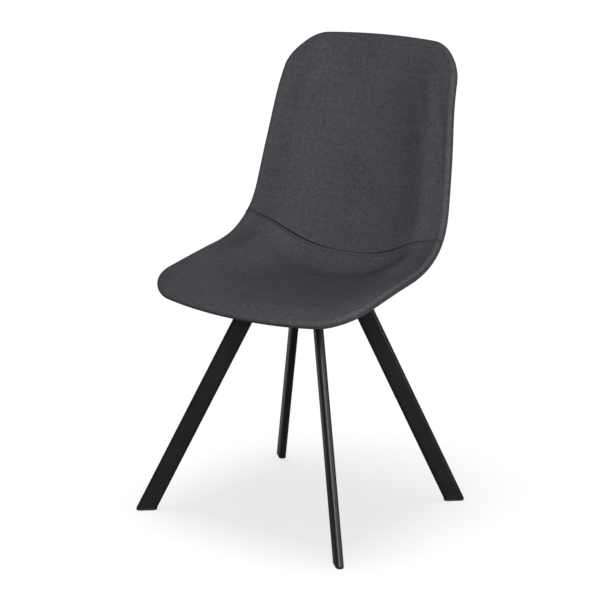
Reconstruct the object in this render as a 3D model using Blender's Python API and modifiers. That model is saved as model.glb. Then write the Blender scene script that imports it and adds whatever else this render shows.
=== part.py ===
"""Dining chair: an upholstered one-piece bucket shell on four splayed flat-oval tube legs.

The shell is laid out flat, as a blank, and then bent. A place on the blank is (x, l): x runs
across the chair, l along it from the front edge of the seat to the top of the back. Every
layer of the shell (plywood, foam, covers) shares one grid on the blank and is offset along
the same normals, so that neighbouring layers stay parallel.

Metres, +Z up, the front of the chair towards -Y. The origin is on the floor, under the
middle of the chair.
"""
import bmesh
import bpy
import numpy as np
from math import copysign, cos, pi, radians, sin, sqrt, tan
from mathutils import Vector

# ---- driving dimensions ---------------------------------------------------------------
# Shell: the blank
SHELL_LENGTH = 0.786            # front edge of the seat to top of the back, along the bend
HALF_WIDTHS = (0.2373, 0.2351, 0.2321, 0.2286, 0.2188, 0.2044, 0.1900)  # even steps along l
FRONT_CORNER = (0.0648, 0.0962)  # radii of the front corners, across and along
TOP_CORNER = (0.0715, 0.0786)    # radii of the top corners, across and along
FRONT_BOW = 0.0282              # how far the front edge bows forward in the middle
TOP_BOW = 0.0107                # how far the top edge bows up in the middle

# Shell: the bend
FRONT_EDGE_Y = -0.2120
FRONT_EDGE_Z = 0.4235
SEAT_HEADING = radians(1.2)     # slope of the seat
LIP_HEADING = radians(31.1)     # extra slope at the front lip, which dies out over LIP_LENGTH
LIP_LENGTH = 0.0282
BEND_START = 0.2151             # where the seat starts to turn up, along l
BEND_END = 0.4891
BACK_HEADING = radians(76.1)    # slope of the back above the bend
TOP_HEADING = radians(5.3)      # extra slope gained up to the top edge
CURLS = (0.0045, 0.0244, 0.0428, 0.0541, 0.0522, 0.0528, 0.0497, 0.0217)  # side lift along l
CURL_POWER = 2.37               # how sharply the sides turn up

# Shell: the layers, measured from the middle surface
SHELL_THICKNESS = 0.0232
COVER_THICKNESS = 0.0012
PLYWOOD_THICKNESS = 0.009
SEAT_SINK = 0.006               # how much thicker the front foam is away from the edges
SEAM_LENGTH = 0.3484            # place of the seat-to-back seam along l, on the centre line
SEAM_RISE = 0.0422              # how much higher the seam is at the sides
FRONT_ANGLES = (90, 52, 18, -15)  # stations round the edge for what faces the sitter
REAR_ANGLES = (-90, -55, -19)     # stations round the edge for what faces away
SEAM_GAP = 0.0008
GAP = 0.0003                    # clearance between touching pieces

# Grid on the blank
COLUMNS = 10
SEAT_ROWS = 9
BACK_ROWS = 9
TURN_WEIGHT = 0.1               # metres of length that one radian of bend counts for

# Frame
FRAME_Y = 0.007                 # where the two diagonals cross
DIAGONAL = radians(42.3)        # from the X axis to a diagonal
FRONT_FOOT_RADIUS = 0.3113      # from the crossing to the foot
REAR_FOOT_RADIUS = 0.2906
FRONT_SPLAY = radians(27.0)
REAR_SPLAY = radians(25.15)
TUBE_WIDTH = 0.036
TUBE_THICKNESS = 0.015
TUBE_WALL = 0.0015
TUBE_ARC_STEPS = 6              # facets on each rounded side of a tube
GLIDE_PLATE = 0.004
GLIDE_PLUG = 0.014
GLIDE_EDGE = 0.0008

# Mounting bars and fasteners
BAR_OFFSET = 0.045              # from the crossing to a bar, along Y
BAR_WIDTH = 0.028
BAR_THICKNESS = 0.004
BAR_END = 0.014                 # from a bolt to the end of its bar
BAR_DROP = 0.0015               # room between a bar and the lowest point of the shell over it
BOLT_X = 0.092
BOLT_RADIUS = 0.003
HOLE_RADIUS = 0.0034
BOLT_HEAD_RADIUS = 0.0055
BOLT_HEAD_HEIGHT = 0.0035
BOLT_HEAD_ROUND = 0.0014        # how high the rounded part of a bolt's head is
BOLT_HEAD_FLAT = 0.0039         # radius of the flat end of a bolt's head
BOLT_CHAMFER = 0.0009           # at a bolt's tip
WASHER_RADIUS = 0.0065
WASHER_THICKNESS = 0.0012
SPACER_RADIUS = 0.011
SPACER_ROOM = 0.0008            # between a spacer and the outer cover's facets
NUT_FLANGE_RADIUS = 0.0085
NUT_FLANGE = 0.0014
NUT_BARREL_RADIUS = 0.0041
NUT_BARREL = 0.0075
ROUND_STEPS = 12

# ---- worked out from them -------------------------------------------------------------
EDGE = SHELL_THICKNESS / 2
COVER_INNER = EDGE - COVER_THICKNESS
FOAM_OUTER = COVER_INNER - GAP
PLYWOOD_HALF = PLYWOOD_THICKNESS / 2
FOAM_INNER = PLYWOOD_HALF + GAP
SEAM_V = 1.0                    # v on the grid: 0 at the front edge, 1 at the seam, 2 at the top


def smooth_step(t):
    """0 up to 0, 1 from 1 on, and a smooth rise between them."""
    t = min(max(t, 0.0), 1.0)
    return t * t * (3 - 2 * t)


def through(values, t):
    """Smooth curve through evenly spaced values, for t from 0 to 1."""
    last = len(values) - 1
    place = min(max(t, 0.0), 1.0) * last
    i = min(int(place), last - 1)
    f = place - i
    a, b = values[i], values[i + 1]
    slope_a = (b - values[i - 1]) / 2 if i > 0 else b - a
    slope_b = (values[i + 2] - a) / 2 if i + 2 <= last else b - a
    return (a * (1 + 2 * f) * (1 - f) ** 2 + b * f * f * (3 - 2 * f)
            + slope_a * f * (1 - f) ** 2 + slope_b * f * f * (f - 1))


# ---- the bend -------------------------------------------------------------------------
def heading(l):
    """Slope of the centre line at l, from level."""
    turn = (BACK_HEADING - SEAT_HEADING) * smooth_step((l - BEND_START) / (BEND_END - BEND_START))
    lip = LIP_HEADING * np.exp(-l / LIP_LENGTH)
    top = TOP_HEADING * smooth_step((l - BEND_END) / (SHELL_LENGTH - BEND_END))
    return SEAT_HEADING + lip + turn + top


SPINE_STEPS = 800
SPINE_L = np.linspace(0.0, SHELL_LENGTH, SPINE_STEPS + 1)
SPINE_HEADING = np.array([heading(l) for l in SPINE_L])
SPINE_MIDDLE = (SPINE_HEADING[1:] + SPINE_HEADING[:-1]) / 2
SPINE_STEP = SHELL_LENGTH / SPINE_STEPS
SPINE_Y = FRONT_EDGE_Y + np.concatenate([[0], np.cumsum(np.cos(SPINE_MIDDLE))]) * SPINE_STEP
SPINE_Z = FRONT_EDGE_Z + np.concatenate([[0], np.cumsum(np.sin(SPINE_MIDDLE))]) * SPINE_STEP


def base_width(l):
    """Half width of the blank at l, before its corners are rounded."""
    return through(HALF_WIDTHS, l / SHELL_LENGTH)


def middle_surface(x, l):
    """Point of the middle surface: the centre line, with the sides lifted along its normal."""
    lift = through(CURLS, l / SHELL_LENGTH) * (abs(x) / base_width(l)) ** CURL_POWER
    slope = np.interp(l, SPINE_L, SPINE_HEADING)
    y = np.interp(l, SPINE_L, SPINE_Y) - sin(slope) * lift
    z = np.interp(l, SPINE_L, SPINE_Z) + cos(slope) * lift
    return Vector((x, y, z))


NEARBY = 0.001                  # between places compared to find the surface's slope


def bent(x, l, w):
    """Point w above the middle surface, on the sitter's side."""
    l = min(max(l, NEARBY), SHELL_LENGTH - NEARBY)
    across = middle_surface(x + NEARBY, l) - middle_surface(x - NEARBY, l)
    along = middle_surface(x, l + NEARBY) - middle_surface(x, l - NEARBY)
    return middle_surface(x, l) + across.cross(along).normalized() * w


# ---- the blank ------------------------------------------------------------------------
def end_edge(u, half_width, radius_x, radius_l):
    """Point of a rounded end, for u from -1 to 1 between the middles of its two corners."""
    straight = half_width - radius_x
    arc = pi / 8 * (radius_x + radius_l)
    run = abs(u) * (straight + arc)
    angle = max(0.0, run - straight) / arc * pi / 4
    x = min(run, straight) + radius_x * sin(angle)
    return copysign(x, u), radius_l * (1 - cos(angle))


def outline_width(l, inset):
    """Half width of the blank at l, with its corners, drawn in by inset."""
    width = base_width(l) - inset
    front = FRONT_CORNER[1] - (l if l > inset else inset)
    top = TOP_CORNER[1] - (SHELL_LENGTH - l)
    if front > 0:
        radius = FRONT_CORNER[0] - inset
        share = front / (FRONT_CORNER[1] - inset)
        return width - radius * (1 - sqrt(max(0.0, 1 - share * share)))
    if top > 0:
        radius = TOP_CORNER[0] - inset
        share = top / (TOP_CORNER[1] - inset)
        return width - radius * (1 - sqrt(max(0.0, 1 - share * share)))
    return width


def front_edge(u, inset):
    """Point of the front edge, drawn in by inset."""
    width = base_width(FRONT_CORNER[1]) - inset
    x, depth = end_edge(u, width, FRONT_CORNER[0] - inset, FRONT_CORNER[1] - inset)
    return x, inset + depth


def top_edge(u, inset):
    """Point of the top edge, drawn in by inset."""
    width = base_width(SHELL_LENGTH - TOP_CORNER[1]) - inset
    x, depth = end_edge(u, width, TOP_CORNER[0] - inset, TOP_CORNER[1] - inset)
    return x, SHELL_LENGTH - inset - depth


def seam_edge(u, inset):
    """Point of the seam between seat and back."""
    width = outline_width(SEAM_LENGTH + SEAM_RISE, inset)
    return u * width, SEAM_LENGTH + SEAM_RISE * u * u


def blank_point(u, v, inset):
    """Place on the blank: u from -1 to 1 across, v 0 at the front, 1 at the seam, 2 at the top."""
    if v <= SEAM_V:
        low, high, f = front_edge, seam_edge, v
    else:
        low, high, f = seam_edge, top_edge, v - SEAM_V
    x0, l0 = low(u, inset)
    x1, l1 = high(u, inset)
    corner0, side0 = low(1.0, inset)
    corner1, side1 = high(1.0, inset)
    side = side0 + (side1 - side0) * f
    bulge = outline_width(side, inset) - (corner0 + (corner1 - corner0) * f)
    x = x0 + (x1 - x0) * f + u * bulge
    l = l0 + (l1 - l0) * f
    return x, l


def bowed(x, l):
    """The blank with its front and top edges bowed out in the middle."""
    share = (x / base_width(l)) ** 2
    l_front = FRONT_BOW * share * max(0.0, 1 - l / FRONT_CORNER[1])
    l_top = TOP_BOW * share * max(0.0, 1 - (SHELL_LENGTH - l) / TOP_CORNER[1])
    return x, l + l_front - l_top


def sink(u, v):
    """How far the plywood lies below the middle surface."""
    return SEAT_SINK * (1 - u ** 4) * (1 - (v - 1) ** 6)


def stations(l_start, l_end, count):
    """Row places from 0 to 1, closer together where the centre line turns."""
    grid = np.linspace(l_start, l_end, SPINE_STEPS // 4)
    turn = np.abs(np.diff(np.interp(grid, SPINE_L, SPINE_HEADING)))
    measure = np.concatenate([[0], np.cumsum(np.diff(grid) + TURN_WEIGHT * turn)])
    places = np.interp(np.linspace(0, measure[-1], count + 1), measure, grid)
    return [float((p - l_start) / (l_end - l_start)) for p in places]


SEAT_STATIONS = stations(0.0, SEAM_LENGTH, SEAT_ROWS)
BACK_STATIONS = [SEAM_V + f for f in stations(SEAM_LENGTH, SHELL_LENGTH, BACK_ROWS)]


# ---- scene, materials, small helpers --------------------------------------------------
for old in list(bpy.data.objects):
    bpy.data.objects.remove(old, do_unlink=True)

PARTS = bpy.data.collections.new("dining_chair")
CUTTERS = bpy.data.collections.new("cutters")
for collection in (PARTS, CUTTERS):
    bpy.context.scene.collection.children.link(collection)

CHAIR = bpy.data.objects.new("chair", None)
PARTS.objects.link(CHAIR)


def material(name, colour, roughness, metallic=0.0):
    made = bpy.data.materials.new(name)
    made.use_nodes = True
    shader = made.node_tree.nodes["Principled BSDF"]
    shader.inputs["Base Color"].default_value = (*colour, 1.0)
    shader.inputs["Roughness"].default_value = roughness
    shader.inputs["Metallic"].default_value = metallic
    return made


SEAT_FABRIC = material("seat_fabric", (0.060, 0.061, 0.067), 0.9)
BACK_FABRIC = material("back_fabric", (0.060, 0.061, 0.067), 0.9)
OUTER_FABRIC = material("outer_fabric", (0.054, 0.055, 0.061), 0.9)
FOAM = material("foam", (0.75, 0.72, 0.62), 0.95)
PLYWOOD = material("plywood", (0.55, 0.38, 0.22), 0.6)
BLACK_STEEL = material("black_steel", (0.012, 0.012, 0.013), 0.4, 0.3)
BLACK_PLASTIC = material("black_plastic", (0.015, 0.015, 0.015), 0.55)
ZINC = material("zinc", (0.55, 0.56, 0.58), 0.35, 1.0)


def add_part(name, mesh, finish, sharp=35):
    mesh.name = name
    mesh.shade_smooth()
    mesh.set_sharp_from_angle(angle=radians(sharp))
    mesh.materials.append(finish)
    made = bpy.data.objects.new(name, mesh)
    made.parent = CHAIR
    PARTS.objects.link(made)
    return made


def mesh_from(bm, name):
    bmesh.ops.recalc_face_normals(bm, faces=bm.faces)
    mesh = bpy.data.meshes.new(name)
    bm.to_mesh(mesh)
    bm.free()
    return mesh


# ---- upholstered shell ----------------------------------------------------------------
def add_face(bm, rows, radius, angles, sunk, trims):
    """One face of a layer: a grid on the blank with a ring of faces for each edge station.

    While it is made, a vertex holds (u, v, ring). Returns its open rim, as vertices by those.
    """
    made = bmesh.ops.create_grid(bm, x_segments=COLUMNS, y_segments=len(rows) - 1, size=1.0)
    verts = list(made["verts"])
    for vert in verts:
        row = round((vert.co.y + 1) / 2 * (len(rows) - 1))
        vert.co = Vector((vert.co.x, rows[row], 0.0))
    open_rows = [v for v in (rows[0], rows[-1]) if v == SEAM_V]
    for ring in range(1, len(angles)):
        rim = {e for v in verts for e in v.link_edges if e.is_boundary}
        outer = [e for e in rim if not all(v.co.y in open_rows for v in e.verts)]
        result = bmesh.ops.extrude_edge_only(bm, edges=outer)["geom"]
        new = [g for g in result if isinstance(g, bmesh.types.BMVert)]
        bmesh.ops.translate(bm, verts=new, vec=(0.0, 0.0, 1.0))
        verts += new
    # Split alike on every layer, so that facets that face each other stay parallel.
    faces = list({f for v in verts for f in v.link_faces})
    bmesh.ops.triangulate(bm, faces=faces, quad_method='FIXED')
    rim = {e for v in verts for e in v.link_edges if e.is_boundary}
    keys = {v: tuple(round(c, 4) for c in v.co) for e in rim for v in e.verts}
    pairs = {frozenset((keys[e.verts[0]], keys[e.verts[1]])) for e in rim}
    for vert in verts:
        u, v, ring = vert.co
        angle = radians(angles[round(ring)])
        inset = EDGE - radius * cos(angle)
        w = radius * sin(angle)
        if sunk and round(ring) == 0:
            w -= sink(u, v)
        x, l = bowed(*blank_point(u, v, inset))
        if v in open_rows:
            l += trims[0] if v == rows[0] else trims[1]
        vert.co = bent(x, l, w)
    return {key: vert for vert, key in keys.items()}, pairs


def add_layer(name, rows, outer, inner, finish):
    """A closed layer between two faces, each given as (radius, angles, sunk)."""
    trims = (SEAM_GAP / 2, -SEAM_GAP / 2)
    bm = bmesh.new()
    outer_rim, pairs = add_face(bm, rows, *outer, trims)
    inner_rim, pairs = add_face(bm, rows, *inner, trims)
    for a, b in (tuple(pair) for pair in pairs):
        bm.faces.new((outer_rim[a], outer_rim[b], inner_rim[b], inner_rim[a]))
    return add_part(name, mesh_from(bm, name), finish)


ALL_ROWS = SEAT_STATIONS + BACK_STATIONS[1:]
PLYWOOD_FRONT = (PLYWOOD_HALF, FRONT_ANGLES[:3], True)
PLYWOOD_REAR = (PLYWOOD_HALF, REAR_ANGLES, True)
shell_plywood = add_layer("shell_plywood", ALL_ROWS, PLYWOOD_FRONT, PLYWOOD_REAR, PLYWOOD)

for panel, rows, fabric in (("seat", SEAT_STATIONS, SEAT_FABRIC),
                            ("back", BACK_STATIONS, BACK_FABRIC)):
    add_layer(f"{panel}_foam", rows, (FOAM_OUTER, FRONT_ANGLES, False),
              (FOAM_INNER, FRONT_ANGLES, True), FOAM)
    add_layer(f"{panel}_cover", rows, (EDGE, FRONT_ANGLES, False),
              (COVER_INNER, FRONT_ANGLES, False), fabric)

rear_foam = add_layer("rear_foam", ALL_ROWS, (FOAM_OUTER, REAR_ANGLES, True),
                      (FOAM_INNER, REAR_ANGLES, True), FOAM)
outer_cover = add_layer("outer_cover", ALL_ROWS, (EDGE, REAR_ANGLES, True),
                        (COVER_INNER, REAR_ANGLES, True), OUTER_FABRIC)


HEIGHT_CORRECTIONS = 4


def sink_at(x, l):
    """The sink under a place near the middle of the seat."""
    return sink(x / outline_width(l, EDGE), (l - EDGE) / (SEAM_LENGTH - EDGE))


def shell_height(x, y, offset):
    """Height of the layer that lies offset above the plywood's middle, near the seat's middle."""
    l = float(np.interp(y, SPINE_Y, SPINE_L))
    for correction in range(HEIGHT_CORRECTIONS):
        point = bent(x, l, offset - sink_at(x, l))
        l += y - point.y
    return point.z


# ---- lofted tubes ---------------------------------------------------------------------
def loft(name, loops, ring=False):
    """Mesh through loops of equally many points, capped, or closed on itself as a ring."""
    bm = bmesh.new()
    made = [[bm.verts.new(p) for p in loop] for loop in loops]
    count = len(made[0])
    pairs = list(zip(made, made[1:] + made[:1])) if ring else list(zip(made, made[1:]))
    for low, high in pairs:
        for i in range(count):
            j = (i + 1) % count
            bm.faces.new((low[i], low[j], high[j], high[i]))
    if not ring:
        bm.faces.new(made[0])
        bm.faces.new(made[-1])
    return mesh_from(bm, name)


def oval(shrink):
    """Flat-oval section, drawn in by shrink: (along the wide axis, along the thin axis)."""
    radius = TUBE_THICKNESS / 2 - shrink
    reach = (TUBE_WIDTH - TUBE_THICKNESS) / 2
    points = []
    for end in (1, -1):
        for i in range(TUBE_ARC_STEPS + 1):
            angle = -pi / 2 + pi * i / TUBE_ARC_STEPS
            points.append((end * (reach + radius * cos(angle)), end * radius * sin(angle)))
    return points


def oval_loop(centre, axis, wide, plane_point, plane_normal, shrink):
    """The section's points slid along the tube's axis onto a cutting plane."""
    thin = axis.cross(wide)
    loop = []
    for a, b in oval(shrink):
        point = centre + wide * a + thin * b
        slide = (plane_point - point).dot(plane_normal) / axis.dot(plane_normal)
        loop.append(point + axis * slide)
    return loop


def add_tube(name, start, end, wide, start_cut, end_cut):
    """Hollow flat-oval tube between two cutting planes, each given as (point, normal)."""
    axis = (end - start).normalized()
    loops = [oval_loop(start, axis, wide, *start_cut, 0.0),
             oval_loop(start, axis, wide, *end_cut, 0.0),
             oval_loop(start, axis, wide, *end_cut, TUBE_WALL),
             oval_loop(start, axis, wide, *start_cut, TUBE_WALL)]
    return add_part(name, loft(name, loops, ring=True), BLACK_STEEL)


# ---- frame ----------------------------------------------------------------------------
UP = Vector((0, 0, 1))
CROSSING = Vector((0, FRAME_Y, 0))
bar_ys = (FRAME_Y - BAR_OFFSET, FRAME_Y + BAR_OFFSET)
BAR_TOP = min(shell_height(0.0, y + dy, -EDGE) for y in bar_ys
              for dy in (-BAR_WIDTH / 2, 0.0, BAR_WIDTH / 2)) - BAR_DROP
BAR_BOTTOM = BAR_TOP - BAR_THICKNESS
CROSS_Z = BAR_BOTTOM - GAP - TUBE_WIDTH / 2

corners = {}
for end_name, sign_y, foot_radius, splay in (("front", -1, FRONT_FOOT_RADIUS, FRONT_SPLAY),
                                             ("back", 1, REAR_FOOT_RADIUS, REAR_SPLAY)):
    for side_name, sign_x in (("left", 1), ("right", -1)):
        out = Vector((sign_x * cos(DIAGONAL), sign_y * sin(DIAGONAL), 0))
        foot = CROSSING + out * foot_radius
        corner = CROSSING + out * (foot_radius - CROSS_Z * tan(splay)) + UP * CROSS_Z
        down = (foot - corner).normalized()
        mitre = (-out - down).normalized()
        place = f"{end_name}_{side_name}"
        corners[place] = (corner, out, mitre)

        wide = (out - down * out.dot(down)).normalized()
        floor_cut = (UP * (GLIDE_PLATE + GAP), UP)
        mitre_cut = (corner + down * GAP, mitre)
        add_tube(f"leg_{place}", foot, corner, wide, floor_cut, mitre_cut)

        def level_loop(height, shift, shrink):
            """The leg's section at a height, moved down by shift."""
            loop = oval_loop(foot, -down, wide, UP * height, UP, shrink)
            return [point - UP * shift for point in loop]

        plug = TUBE_WALL + GAP
        glide = [level_loop(GLIDE_PLATE, GLIDE_PLATE, GLIDE_EDGE),
                 level_loop(GLIDE_PLATE, GLIDE_PLATE - GLIDE_EDGE, 0.0),
                 level_loop(GLIDE_PLATE, 0.0, 0.0),
                 level_loop(GLIDE_PLATE, 0.0, plug),
                 level_loop(GLIDE_PLATE + GLIDE_PLUG, 0.0, plug)]
        name = f"glide_{place}"
        add_part(name, loft(name, glide), BLACK_PLASTIC)

# One diagonal runs through; the other is two half tubes that butt against it.
start, start_out, start_mitre = corners["front_left"]
end, end_out, end_mitre = corners["back_right"]
add_tube("cross_tube", start, end, UP, (start, start_mitre), (end, end_mitre))
through_side = Vector((-start_out.y, start_out.x, 0))
for place in ("front_right", "back_left"):
    corner, out, mitre = corners[place]
    side = copysign(1, through_side.dot(out))
    butt = CROSSING + through_side * side * (TUBE_THICKNESS / 2 + GAP)
    inner = CROSSING + UP * CROSS_Z
    add_tube(f"half_tube_{place}", corner, inner, UP, (corner, mitre), (butt, through_side))


# ---- mounting bars and fasteners ------------------------------------------------------
def add_turned(name, profile, place, finish):
    """A turned piece from a closed profile of (radius, height), or one that ends on the axis."""
    closed = all(radius > 0 for radius, height in profile)
    mesh = bpy.data.meshes.new(name)
    count = len(profile)
    edges = [(i, (i + 1) % count) for i in range(count if closed else count - 1)]
    mesh.from_pydata([(radius, 0.0, height) for radius, height in profile], edges, [])
    made = bpy.data.objects.new(name, mesh)
    screw = made.modifiers.new("turn", 'SCREW')
    screw.steps = ROUND_STEPS
    screw.render_steps = ROUND_STEPS
    screw.use_merge_vertices = True
    screw.merge_threshold = 1e-5
    made.location = place
    made.parent = CHAIR
    mesh.materials.append(finish)
    PARTS.objects.link(made)
    return made


def add_cutter(name, radius, low, high):
    """An upright cylinder that isn't part of the chair, for cutting holes."""
    bpy.ops.mesh.primitive_cylinder_add(vertices=ROUND_STEPS, radius=radius,
                                        depth=(high - low).length, location=(low + high) / 2)
    cutter = bpy.context.object
    cutter.name = name
    cutter.display_type = 'WIRE'
    cutter.hide_render = True
    for owner in list(cutter.users_collection):
        owner.objects.unlink(cutter)
    CUTTERS.objects.link(cutter)
    cutter.parent = CHAIR
    return cutter


def cut(target, cutter):
    boolean = target.modifiers.new(cutter.name, 'BOOLEAN')
    boolean.operation = 'DIFFERENCE'
    boolean.solver = 'EXACT'
    boolean.object = cutter


def spacer_height(x, y):
    """Top of a spacer: just under the outer cover."""
    return shell_height(x, y, -EDGE) - SPACER_ROOM


for end_name, bar_y in zip(("front", "rear"), bar_ys):
    bm = bmesh.new()
    bmesh.ops.create_cube(bm, size=1.0)
    bar_size = (2 * (BOLT_X + BAR_END), BAR_WIDTH, BAR_THICKNESS)
    bmesh.ops.scale(bm, vec=bar_size, verts=bm.verts)
    name = f"{end_name}_mounting_bar"
    bar = add_part(name, mesh_from(bm, name), BLACK_STEEL)
    bar.location = (0.0, bar_y, BAR_TOP - BAR_THICKNESS / 2)

    for side_name, x in (("left", BOLT_X), ("right", -BOLT_X)):
        place = f"{end_name}_{side_name}"
        spot = Vector((x, bar_y, 0.0))
        tilt_room = max(abs(shell_height(x + NUT_FLANGE_RADIUS, bar_y, 0.0)
                            - shell_height(x - NUT_FLANGE_RADIUS, bar_y, 0.0)),
                        abs(shell_height(x, bar_y + NUT_FLANGE_RADIUS, 0.0)
                            - shell_height(x, bar_y - NUT_FLANGE_RADIUS, 0.0))) / 2
        nut_top = shell_height(x, bar_y, PLYWOOD_HALF) - tilt_room - GAP
        seat_top = shell_height(x, bar_y, FOAM_INNER)
        below = BAR_BOTTOM - BAR_THICKNESS
        above = BAR_TOP + BAR_THICKNESS

        hole = add_cutter(f"hole_{place}", HOLE_RADIUS, spot + UP * below, spot + UP * above)
        cut(bar, hole)
        barrel = add_cutter(f"barrel_hole_{place}", NUT_BARREL_RADIUS + GAP,
                            spot + UP * below, spot + UP * (nut_top - NUT_FLANGE / 2))
        for target in (outer_cover, rear_foam, shell_plywood):
            cut(target, barrel)
        recess = add_cutter(f"recess_{place}", NUT_FLANGE_RADIUS + GAP,
                            spot + UP * (nut_top - NUT_FLANGE - GAP),
                            spot + UP * (seat_top + NUT_FLANGE))
        cut(shell_plywood, recess)

        bore = BOLT_RADIUS + GAP
        add_turned(f"tee_nut_{place}",
                   [(bore, 0.0), (NUT_FLANGE_RADIUS, 0.0), (NUT_FLANGE_RADIUS, -NUT_FLANGE),
                    (NUT_BARREL_RADIUS, -NUT_FLANGE), (NUT_BARREL_RADIUS, -NUT_BARREL),
                    (bore, -NUT_BARREL)], spot + UP * nut_top, ZINC)

        name = f"spacer_{place}"
        rings = []
        for radius, top in ((SPACER_RADIUS, 0), (SPACER_RADIUS, 1), (HOLE_RADIUS, 1),
                            (HOLE_RADIUS, 0)):
            ring = []
            for i in range(ROUND_STEPS):
                angle = 2 * pi * i / ROUND_STEPS
                px = x + radius * cos(angle)
                py = bar_y + radius * sin(angle)
                height = spacer_height(px, py) if top else BAR_TOP + GAP
                ring.append(Vector((px, py, height)))
            rings.append(ring)
        add_part(name, loft(name, rings, ring=True), BLACK_PLASTIC)

        washer_top = BAR_BOTTOM - GAP
        add_turned(f"washer_{place}",
                   [(bore, 0.0), (WASHER_RADIUS, 0.0), (WASHER_RADIUS, -WASHER_THICKNESS),
                    (bore, -WASHER_THICKNESS)], spot + UP * washer_top, ZINC)

        head_top = washer_top - WASHER_THICKNESS - GAP
        tip = nut_top - head_top - GAP
        add_turned(f"bolt_{place}",
                   [(0.0, tip), (BOLT_RADIUS - BOLT_CHAMFER, tip),
                    (BOLT_RADIUS, tip - BOLT_CHAMFER), (BOLT_RADIUS, 0.0),
                    (BOLT_HEAD_RADIUS, 0.0),
                    (BOLT_HEAD_RADIUS, BOLT_HEAD_ROUND - BOLT_HEAD_HEIGHT),
                    (BOLT_HEAD_FLAT, -BOLT_HEAD_HEIGHT), (0.0, -BOLT_HEAD_HEIGHT)],
                   spot + UP * head_top, ZINC)


# ---- origin: on the floor, under the middle of the chair ------------------------------
def chair_box():
    """Lowest and highest corner of the parts."""
    bpy.context.view_layer.update()
    graph = bpy.context.evaluated_depsgraph_get()
    points = []
    for made in PARTS.objects:
        if made.type == 'MESH':
            shape = made.evaluated_get(graph)
            points += [made.matrix_world @ v.co for v in shape.data.vertices]
    low = [min(p[i] for p in points) for i in range(3)]
    high = [max(p[i] for p in points) for i in range(3)]
    return low, high


low, high = chair_box()
CHAIR.location.y = -(low[1] + high[1]) / 2
bpy.context.view_layer.update()
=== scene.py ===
"""Looks for the dining chair: upholstered pads, tube frame, fasteners, materials, light, camera.

The upholstery repeats the shell of the CAD part on a much finer grid. A place on the shell's flat
blank is (x, l): x runs across the chair, l along it from the front edge of the seat to the top of
the back. A place on a pad is (u, v): u from -1 to 1 across it, v 0 at the front edge, 1 at the
seam between seat and back, 2 at the top. Round the edge, angle goes from 90 degrees on the
sitter's side to -90 on the other. Metres throughout.
"""

from math import copysign, cos, pi, radians, sin, sqrt, tan

import bmesh
import bpy
import numpy as np
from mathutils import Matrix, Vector, noise


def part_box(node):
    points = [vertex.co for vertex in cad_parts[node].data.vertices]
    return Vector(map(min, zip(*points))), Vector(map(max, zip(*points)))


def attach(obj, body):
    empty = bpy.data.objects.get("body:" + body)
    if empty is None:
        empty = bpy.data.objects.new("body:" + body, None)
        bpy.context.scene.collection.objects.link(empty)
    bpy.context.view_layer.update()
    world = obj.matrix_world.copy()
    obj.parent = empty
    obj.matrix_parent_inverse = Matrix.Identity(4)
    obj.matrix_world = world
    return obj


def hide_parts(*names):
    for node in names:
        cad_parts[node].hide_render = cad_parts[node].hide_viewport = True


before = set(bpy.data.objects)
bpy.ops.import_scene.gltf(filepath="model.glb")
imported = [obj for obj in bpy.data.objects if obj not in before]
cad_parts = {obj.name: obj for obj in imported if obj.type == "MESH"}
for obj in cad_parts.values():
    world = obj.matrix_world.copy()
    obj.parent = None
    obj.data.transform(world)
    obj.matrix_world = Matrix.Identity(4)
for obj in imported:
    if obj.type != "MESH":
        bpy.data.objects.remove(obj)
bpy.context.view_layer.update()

# ---- the CAD part's dimensions ---------------------------------------------------------
SHELL_LENGTH = 0.786
HALF_WIDTHS = (0.2373, 0.2351, 0.2321, 0.2286, 0.2188, 0.2044, 0.1900)
FRONT_CORNER = (0.0648, 0.0962)
TOP_CORNER = (0.0715, 0.0786)
FRONT_BOW = 0.0282
TOP_BOW = 0.0107
FRONT_EDGE_Y = -0.2120
FRONT_EDGE_Z = 0.4235
SEAT_HEADING = radians(1.2)
LIP_HEADING = radians(31.1)
LIP_LENGTH = 0.0282
BEND_START = 0.2151
BEND_END = 0.4891
BACK_HEADING = radians(76.1)
TOP_HEADING = radians(5.3)
CURLS = (0.0045, 0.0244, 0.0428, 0.0541, 0.0522, 0.0528, 0.0497, 0.0217)
CURL_POWER = 2.37
EDGE = 0.0232 / 2               # half the shell's thickness, and the radius of its edge
PLYWOOD_FACE = 0.0048           # from the middle surface to what lies on the plywood
SEAT_SINK = 0.006
SEAM_LENGTH = 0.3484
SEAM_RISE = 0.0422
SEAM_GAP = 0.0004

FRAME_Y = 0.007
DIAGONAL = radians(42.3)
FOOT_RADII = {"front": 0.3113, "back": 0.2906}
SPLAYS = {"front": radians(27.0), "back": radians(25.15)}
TUBE_WIDTH = 0.036
TUBE_THICKNESS = 0.015
TUBE_WALL = 0.0015
GAP = 0.0003
GLIDE_PLATE = 0.004
GLIDE_PLUG = 0.014
BAR_OFFSET = 0.045
BAR_WIDTH = 0.028
BOLT_X = 0.092
BAR_HALF_LENGTH = 0.106
HOLE_RADIUS = 0.0034
BOLT_RADIUS = 0.003
BOLT_HEAD_RADIUS = 0.0055
BOLT_HEAD_HEIGHT = 0.0035

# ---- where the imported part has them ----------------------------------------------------
bar_low, bar_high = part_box("front_mounting_bar")
tube_low, tube_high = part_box("cross_tube")
SHIFT_Y = (bar_low.y + bar_high.y) / 2 - (FRAME_Y - BAR_OFFSET)
BAR_BOTTOM = bar_low.z
BAR_TOP = bar_high.z
CROSS_Z = (tube_low.z + tube_high.z) / 2
CROSSING = Vector((0, FRAME_Y + SHIFT_Y, 0))

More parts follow.
